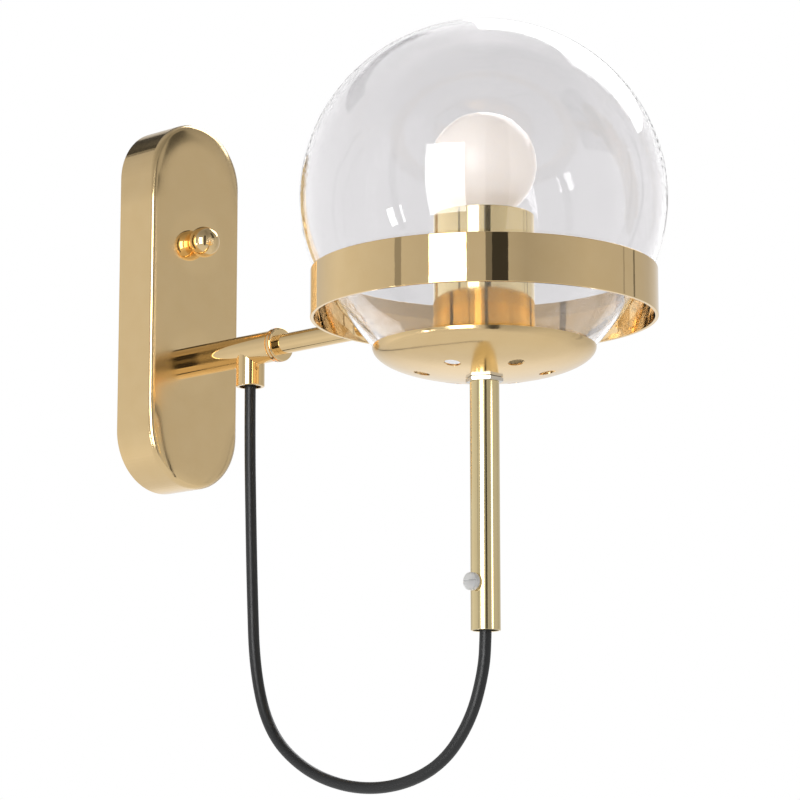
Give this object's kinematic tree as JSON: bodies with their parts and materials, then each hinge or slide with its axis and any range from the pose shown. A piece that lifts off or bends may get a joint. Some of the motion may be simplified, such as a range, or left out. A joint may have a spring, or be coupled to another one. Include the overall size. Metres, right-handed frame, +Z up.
{
  "type": "globe wall sconce",
  "caption": "Wall lamp with a pill-shaped backplate, an arm and hoop that carry a clear glass globe with an opal bulb in a cup, and a hanging flex to its down tube.",
  "frame": {"origin": "on the wall, at the middle of the backplate's wall bracket", "axes": "+Z up, the lamp stands out from the wall along -Y, +X to the right when facing the wall"},
  "size_m": [0.2, 0.362, 0.4157],
  "materials": {
    "polished_gold": "polished, clear lacquered",
    "zinc_steel": "zinc plated",
    "clear_glass": "clear, fire polished",
    "opal_glass": "opal white, satin",
    "nickel_cap": "nickel plated",
    "black_glass": "glossy black insulator",
    "lampholder_plastic": "white heat-resistant plastic",
    "terminal_plastic": "off-white plastic",
    "clear_nylon": "clear nylon",
    "clear_silicone": "clear silicone",
    "black_rubber": "matte black",
    "black_cord": "satin black cord sheath"
  },
  "bodies": {
    "wall_side": {"backplate": "polished_gold", "wall_bracket": "zinc_steel", "finial_stud": "zinc_steel", "stud_nut": "zinc_steel", "arm_sleeve": "polished_gold", "sleeve_collar": "polished_gold", "arm_tube": "polished_gold", "arm_end_plug": "polished_gold", "ring_screw": "polished_gold", "arm_nipple": "zinc_steel", "arm_washer": "zinc_steel", "arm_lock_nut": "zinc_steel", "cord_gland": "polished_gold", "gland_bush": "black_rubber", "ring_hoop": "polished_gold", "seat_band": "clear_silicone", "terminal_block": "terminal_plastic", "terminal_screws": "zinc_steel", "earth_screw": "zinc_steel", "cord_loop": "black_cord"},
    "finial": {"finial_knob": "polished_gold"},
    "globe_head": {"glass_globe": "clear_glass", "lip_gasket": "clear_silicone", "vented_bowl": "polished_gold", "clamp_bridge": "zinc_steel", "bridge_nut": "zinc_steel", "hex_lock_nut": "zinc_steel", "head_nipple": "zinc_steel", "down_tube": "polished_gold", "tube_bush": "polished_gold", "tube_lead": "black_cord", "inner_cup": "polished_gold", "holder_base": "lampholder_plastic", "holder_body": "lampholder_plastic", "screw_shell": "nickel_cap", "centre_contact": "nickel_cap"},
    "bulb": {"bulb_envelope": "opal_glass", "bulb_cap": "nickel_cap", "bulb_insulator": "black_glass", "bulb_tip": "nickel_cap"},
    "cord_grip": {"cord_grip_screw": "clear_nylon"}
  },
  "joints": [
    {"name": "finial_unscrew", "type": "hinge", "parent": "wall_side", "child": "finial", "pos_m": [0, -0.03, 0.0375], "axis": [0, -1, 0], "range_deg": [0, 2790]},
    {"name": "globe_head_turn", "type": "hinge", "parent": "wall_side", "child": "globe_head", "pos_m": [0, -0.262, -0.034], "axis": [0, 0, 1], "range_deg": [-90, 90]},
    {"name": "bulb_unscrew", "type": "hinge", "parent": "globe_head", "child": "bulb", "pos_m": [0, -0.262, 0], "axis": [0, 0, 1], "range_deg": [0, 1890]},
    {"name": "cord_grip_unscrew", "type": "hinge", "parent": "globe_head", "child": "cord_grip", "pos_m": [-0.008, -0.262, -0.1854], "axis": [-1, 0, 0], "range_deg": [0, 1530]}
  ]
}
